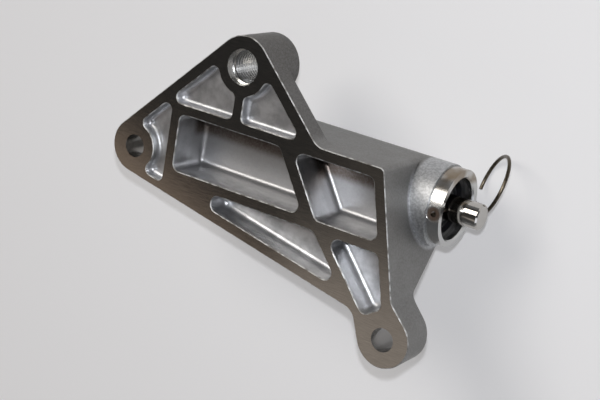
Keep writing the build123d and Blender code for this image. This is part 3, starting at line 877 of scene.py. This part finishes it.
def area_lamp(name, place, size, power, colour):
    """Soft rectangular lamp that faces the part; its place and size are in metres."""
    lamp = bpy.data.lights.new(name, "AREA")
    lamp.shape = "RECTANGLE"
    lamp.size, lamp.size_y = size
    lamp.energy = power
    lamp.color = linear(colour)[:3]
    holder = bpy.data.objects.new(name, lamp)
    bpy.context.scene.collection.objects.link(holder)
    holder.location = place
    holder.rotation_euler = (Vector(LAMP_TARGET) - Vector(place)).to_track_quat("-Z", "Y").to_euler()
    return holder


def panel_lamp(name, place, size, level, colour, turn=0.0):
    """Flat lamp of a given brightness that looks straight down, turned about Z by degrees."""
    lamp = area_lamp(name, place, size, level * math.pi * size[0] * size[1], colour)
    lamp.rotation_euler = (0.0, 0.0, math.radians(turn))


def build_room(scene, light):
    """Room with pale walls and a dim ceiling around the stage."""
    world = bpy.data.worlds.new("Room")
    world.use_nodes = True
    tree = world.node_tree
    tree.nodes.clear()
    way = node(tree, COORDINATES).node.outputs["Generated"]
    _, _, up = node(tree, SEPARATE, way).node.outputs
    ceiling = node(tree, SMOOTH_STEP, up, *WALL_TOP)
    level = node(tree, MIX_NUMBERS, ceiling, light.wall_level, light.ceiling_level)
    room = node(tree, BACKGROUND, linear("#e2e4e8"), level)
    node(tree, WORLD_OUTPUT, room)
    scene.world = world


def build_lamps(light, view):
    """Soft key from behind, flash above the lens, window, fill, and the panels that the face mirrors."""
    area_lamp(
        "key lamp", place=(-0.66, 0.98, 1.45), size=(1.0, 0.8), power=light.key_power, colour="#fffaf4"
    )
    above_lens = Vector(view.place) + Vector(CAMERA_UP) * FLASH_RISE
    area_lamp("flash", place=above_lens, size=(0.014, 0.009), power=light.flash_power, colour="#f8faff")
    area_lamp(
        "window", place=(-0.1, -1.5, 0.62), size=(0.9, 0.45), power=light.window_power, colour="#f2f6ff"
    )
    area_lamp(
        "fill", place=(1.3, -0.45, 0.36), size=(0.7, 0.5), power=light.fill_power, colour="#f0f4ff"
    )
    panel_lamp(
        "low panel",
        place=(-0.306, -0.226, PANEL_HEIGHT),
        size=(0.34, 0.16),
        level=light.low_level,
        colour="#ffe6d2",
        turn=-23.0,
    )
    panel_lamp(
        "side panel",
        place=(0.02, -0.16, SIDE_PANEL_HEIGHT),
        size=(0.3, 0.3),
        level=light.side_level,
        colour="#fff0e0",
    )
    for step in range(1, BOSS_PANELS + 1):
        far = BOSS_PANEL_FAR - BOSS_PANEL_STEP * step
        middle = (far + BOSS_PANEL_NEAR) / 2
        place = (BOSS_PANEL_X, middle, PANEL_HEIGHT - BOSS_PANEL_DROP * step)
        size = (BOSS_PANEL_WIDTH, far - BOSS_PANEL_NEAR)
        panel_lamp("boss panel", place, size, light.boss_level / BOSS_PANELS, "#fff5ee")


def lay_floor(scene, material):
    """Level floor just below the lowest point of the part."""
    shape = bmesh.new()
    bmesh.ops.create_grid(shape, x_segments=1, y_segments=1, size=FLOOR_SIZE)
    bmesh.ops.translate(shape, verts=shape.verts, vec=(0.0, 0.0, frame_box[0][2] - STAGE_GAP))
    mesh = bpy.data.meshes.new("floor")
    shape.to_mesh(mesh)
    shape.free()
    mesh.materials.append(material)
    floor = bpy.data.objects.new("floor", mesh)
    scene.collection.objects.link(floor)


def place_camera(scene, view):
    """Camera at the photograph's place, with its directions and lens."""
    camera_data = bpy.data.cameras.new("camera")
    camera_data.sensor_width = SENSOR_WIDTH
    camera_data.lens = view.lens
    camera = bpy.data.objects.new("camera", camera_data)
    scene.collection.objects.link(camera)
    turn = Matrix((CAMERA_RIGHT, CAMERA_UP, CAMERA_BACK)).transposed().to_4x4()
    camera.matrix_world = Matrix.Translation(Vector(view.place)) @ turn
    scene.camera = camera


class BuildStage(bpy.types.Operator):
    """Lay the floor, set the lamps and place the camera"""

    bl_idname = "damper.build_stage"
    bl_label = "Build the stage"

    def execute(self, context):
        scene = context.scene
        light = scene.damper_light
        lay_floor(scene, matt_painted_table(light))
        build_room(scene, light)
        build_lamps(light, scene.damper_camera)
        place_camera(scene, scene.damper_camera)
        scene.view_settings.view_transform = "Standard"
        return {"FINISHED"}


class DamperPanel(bpy.types.Panel):
    """Buttons that build the damper's look"""

    bl_label = "Timing belt damper"
    bl_idname = "VIEW3D_PT_damper"
    bl_space_type = "VIEW_3D"
    bl_region_type = "UI"
    bl_category = "Damper"

    def draw(self, context):
        for step in STEPS:
            self.layout.operator(step.bl_idname)


STEPS = (FinishHousing, CutThread, FinishPlunger, FinishHydraulics, FinishSeals, FinishPin, BuildStage)
GROUPS = (DamperFinish, DamperCamera, DamperLight)


def register():
    """Register the classes and hang the settings on the scene."""
    for item in (*GROUPS, *STEPS, DamperPanel):
        bpy.utils.register_class(item)
    bpy.types.Scene.damper_finish = bpy.props.PointerProperty(type=DamperFinish)
    bpy.types.Scene.damper_camera = bpy.props.PointerProperty(type=DamperCamera)
    bpy.types.Scene.damper_light = bpy.props.PointerProperty(type=DamperLight)


def unregister():
    """Take the settings and classes away again."""
    del bpy.types.Scene.damper_finish
    del bpy.types.Scene.damper_camera
    del bpy.types.Scene.damper_light
    for item in reversed((*GROUPS, *STEPS, DamperPanel)):
        bpy.utils.unregister_class(item)


def main():
    """Build everything in order."""
    register()
    for step in STEPS:
        group, name = step.bl_idname.split(".")
        getattr(getattr(bpy.ops, group), name)()


if __name__ == "__main__":
    main()
